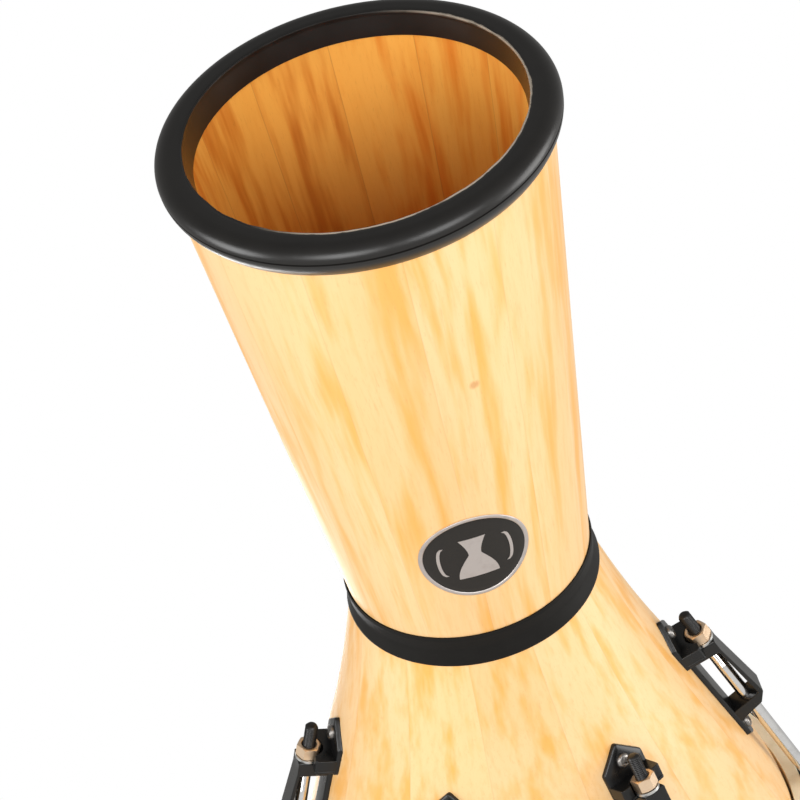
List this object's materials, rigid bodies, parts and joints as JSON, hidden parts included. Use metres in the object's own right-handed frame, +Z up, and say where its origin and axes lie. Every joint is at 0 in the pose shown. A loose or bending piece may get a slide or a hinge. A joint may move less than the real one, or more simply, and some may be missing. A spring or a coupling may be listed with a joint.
{
  "type": "djembe",
  "caption": "Goblet hand drum with a stave-built wooden shell, rubber foot ring, neck band and a skin head tuned by hooked rods and nuts on side lugs.",
  "frame": {"origin": "centre of the foot ring's bottom face", "axes": "+Z up the drum's axis from the foot to the playing head; a lug is at 30 degrees from +X towards +Y and every 60 degrees on; the badge faces about +X"},
  "size_m": [0.3416, 0.3674, 0.6214],
  "materials": {
    "wood": "satin lacquer",
    "rubber": "satin moulded rubber",
    "band": "satin",
    "badge": "brushed rim with black enamel field",
    "motif": "brushed",
    "black_metal": "black powder coat",
    "screw_steel": "zinc-plated steel",
    "zinc": "zinc-plated steel",
    "rod_steel": "polished shank with a blackened thread",
    "nut_metal": "pale satin plated nut",
    "skin": "natural skin, matte"
  },
  "bodies": {
    "shell": {"foot_ring": "rubber", "tube_stave_1": "wood", "tube_stave_2": "wood", "tube_stave_3": "wood", "tube_stave_4": "wood", "tube_stave_5": "wood", "tube_stave_6": "wood", "tube_stave_7": "wood", "tube_stave_8": "wood", "tube_stave_9": "wood", "tube_stave_10": "wood", "tube_stave_11": "wood", "tube_stave_12": "wood", "bowl_stave_1": "wood", "bowl_stave_2": "wood", "bowl_stave_3": "wood", "bowl_stave_4": "wood", "bowl_stave_5": "wood", "bowl_stave_6": "wood", "bowl_stave_7": "wood", "bowl_stave_8": "wood", "bowl_stave_9": "wood", "bowl_stave_10": "wood", "bowl_stave_11": "wood", "bowl_stave_12": "wood", "neck_band": "band", "badge_plate": "badge", "badge_motif": "motif", "lug_1": "black_metal", "lug_2": "black_metal", "lug_3": "black_metal", "lug_4": "black_metal", "lug_5": "black_metal", "lug_6": "black_metal", "lug_screws": "screw_steel", "back_washers": "zinc", "back_nuts": "zinc", "tuning_washers": "zinc"},
    "head": {"counterhoop": "black_metal", "flesh_hoop": "zinc", "drum_head": "skin"},
    "rod_1": {"tuning_rod_1": "rod_steel"},
    "nut_1": {"tuning_nut_1": "nut_metal"},
    "rod_2": {"tuning_rod_2": "rod_steel"},
    "nut_2": {"tuning_nut_2": "nut_metal"},
    "rod_3": {"tuning_rod_3": "rod_steel"},
    "nut_3": {"tuning_nut_3": "nut_metal"},
    "rod_4": {"tuning_rod_4": "rod_steel"},
    "nut_4": {"tuning_nut_4": "nut_metal"},
    "rod_5": {"tuning_rod_5": "rod_steel"},
    "nut_5": {"tuning_nut_5": "nut_metal"},
    "rod_6": {"tuning_rod_6": "rod_steel"},
    "nut_6": {"tuning_nut_6": "nut_metal"}
  },
  "joints": [
    {"name": "head_slide", "type": "slide", "parent": "shell", "child": "head", "axis": [0, 0, 1], "range_m": [0, 0.008]},
    {"name": "rod_1_slide", "type": "slide", "parent": "shell", "child": "rod_1", "axis": [0.2824, 0.1631, 0.9453], "range_m": [0, 0.00846]},
    {"name": "nut_1_turn", "type": "hinge", "parent": "shell", "child": "nut_1", "pos_m": [0.10531, 0.0608, 0.437], "axis": [0.2824, 0.1631, 0.9453], "range_deg": [0, 2437.76]},
    {"name": "rod_2_slide", "type": "slide", "parent": "shell", "child": "rod_2", "axis": [0, 0.3261, 0.9453], "range_m": [0, 0.00846]},
    {"name": "nut_2_turn", "type": "hinge", "parent": "shell", "child": "nut_2", "pos_m": [0, 0.1216, 0.437], "axis": [0, 0.3261, 0.9453], "range_deg": [0, 2437.76]},
    {"name": "rod_3_slide", "type": "slide", "parent": "shell", "child": "rod_3", "axis": [-0.2824, 0.1631, 0.9453], "range_m": [0, 0.00846]},
    {"name": "nut_3_turn", "type": "hinge", "parent": "shell", "child": "nut_3", "pos_m": [-0.10531, 0.0608, 0.437], "axis": [-0.2824, 0.1631, 0.9453], "range_deg": [0, 2437.76]},
    {"name": "rod_4_slide", "type": "slide", "parent": "shell", "child": "rod_4", "axis": [-0.2824, -0.1631, 0.9453], "range_m": [0, 0.00846]},
    {"name": "nut_4_turn", "type": "hinge", "parent": "shell", "child": "nut_4", "pos_m": [-0.10531, -0.0608, 0.437], "axis": [-0.2824, -0.1631, 0.9453], "range_deg": [0, 2437.76]},
    {"name": "rod_5_slide", "type": "slide", "parent": "shell", "child": "rod_5", "axis": [0, -0.3261, 0.9453], "range_m": [0, 0.00846]},
    {"name": "nut_5_turn", "type": "hinge", "parent": "shell", "child": "nut_5", "pos_m": [0, -0.1216, 0.437], "axis": [0, -0.3261, 0.9453], "range_deg": [0, 2437.76]},
    {"name": "rod_6_slide", "type": "slide", "parent": "shell", "child": "rod_6", "axis": [0.2824, -0.1631, 0.9453], "range_m": [0, 0.00846]},
    {"name": "nut_6_turn", "type": "hinge", "parent": "shell", "child": "nut_6", "pos_m": [0.10531, -0.0608, 0.437], "axis": [0.2824, -0.1631, 0.9453], "range_deg": [0, 2437.76]}
  ],
  "couplings": [
    {"joint": "rod_1_slide", "follows": "head_slide", "ratio": 1.0578},
    {"joint": "nut_1_turn", "follows": "head_slide", "rad_per_m": 5317.3},
    {"joint": "rod_2_slide", "follows": "head_slide", "ratio": 1.0578},
    {"joint": "nut_2_turn", "follows": "head_slide", "rad_per_m": 5317.3},
    {"joint": "rod_3_slide", "follows": "head_slide", "ratio": 1.0578},
    {"joint": "nut_3_turn", "follows": "head_slide", "rad_per_m": 5317.3},
    {"joint": "rod_4_slide", "follows": "head_slide", "ratio": 1.0578},
    {"joint": "nut_4_turn", "follows": "head_slide", "rad_per_m": 5317.3},
    {"joint": "rod_5_slide", "follows": "head_slide", "ratio": 1.0578},
    {"joint": "nut_5_turn", "follows": "head_slide", "rad_per_m": 5317.3},
    {"joint": "rod_6_slide", "follows": "head_slide", "ratio": 1.0578},
    {"joint": "nut_6_turn", "follows": "head_slide", "rad_per_m": 5317.3}
  ]
}
